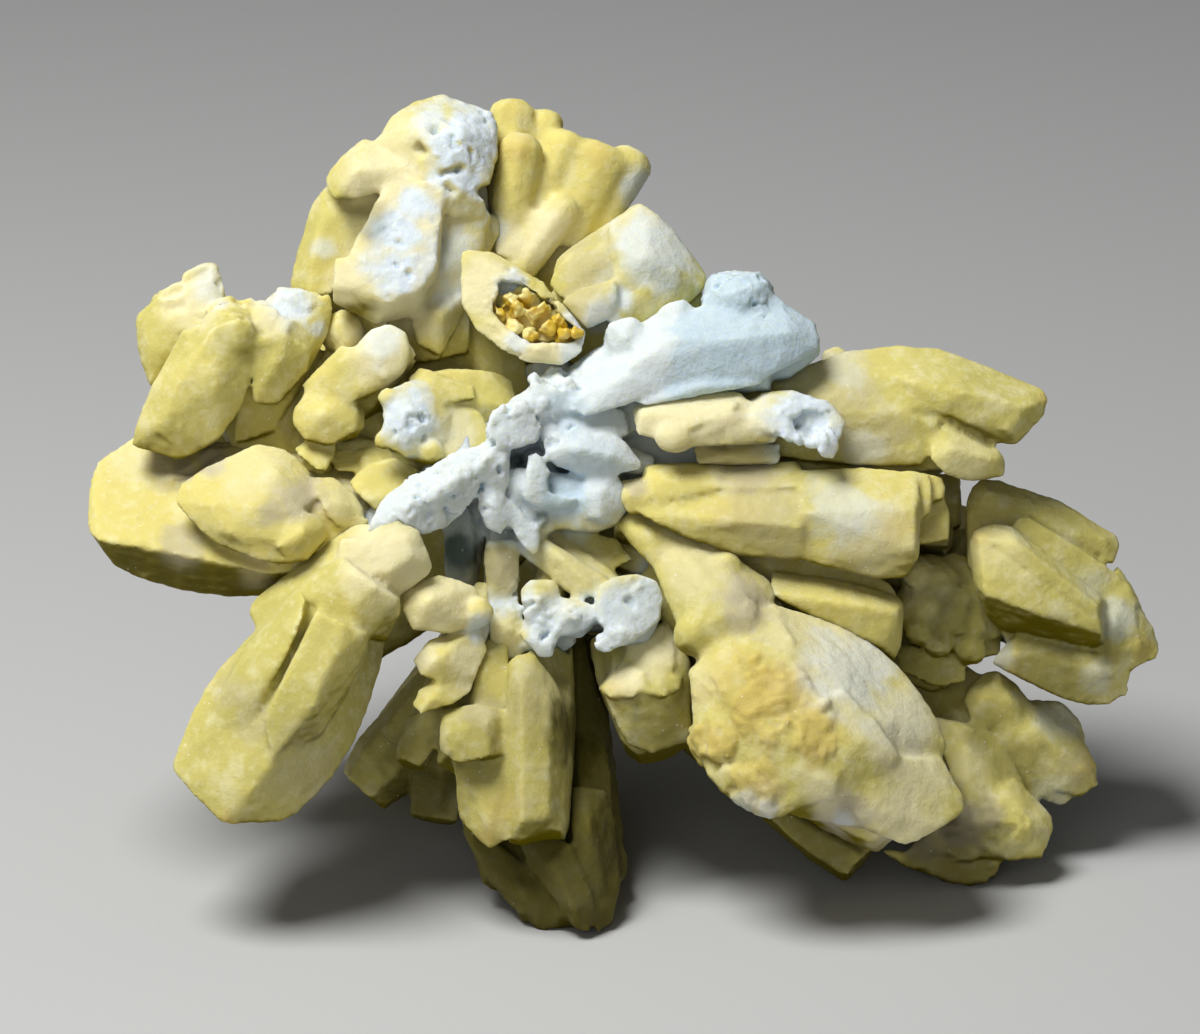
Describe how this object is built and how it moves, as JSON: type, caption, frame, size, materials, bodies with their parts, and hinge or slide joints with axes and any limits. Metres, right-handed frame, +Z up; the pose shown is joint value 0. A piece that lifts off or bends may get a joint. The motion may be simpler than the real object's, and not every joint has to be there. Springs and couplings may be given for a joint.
{
  "type": "plumbogummite crystal cluster",
  "caption": "Free-standing cluster of stepped hexagonal crystals that fan out from a broken stem, with hollow ends, a split pod and worn tips it rests on.",
  "frame": {"origin": "centre of the bounding box in plan, at the level of the ground under the feet", "axes": "+X to the right along the cluster's width, +Y towards its back, +Z up from the ground it rests on"},
  "size_m": [0.0406, 0.0252, 0.0282],
  "materials": {
    "yellow_green": "waxy translucent yellow-green crystal with a fine sugary grain",
    "blue_white": "matt blue-white crust with pits",
    "ochre": "small glassy amber crystals"
  },
  "bodies": {
    "root": {"stem": "blue_white", "perched_crystal": "yellow_green", "lower_left_prism": "yellow_green", "barrel_crystal": "yellow_green", "cream_prism": "yellow_green", "white_end_prism": "yellow_green", "hollow_pod": "yellow_green", "pod_lining": "ochre", "left_prism": "yellow_green", "middle_right_prism": "yellow_green", "bottom_centre_prisms": "yellow_green", "curved_cluster": "yellow_green", "upper_right_prism": "yellow_green", "left_centre_buds": "yellow_green", "upper_left_bundle": "yellow_green", "top_left_spray": "yellow_green", "under_barrel_prisms": "yellow_green", "bottom_bundle": "yellow_green", "top_right_fingers": "yellow_green", "right_far_bundle": "yellow_green", "right_lower_bundle": "yellow_green", "inner_right_prisms": "yellow_green", "back_upper_spray": "yellow_green", "back_left_spray": "yellow_green", "back_right_spray": "yellow_green", "back_lower_spray": "yellow_green"}
  },
  "joints": []
}
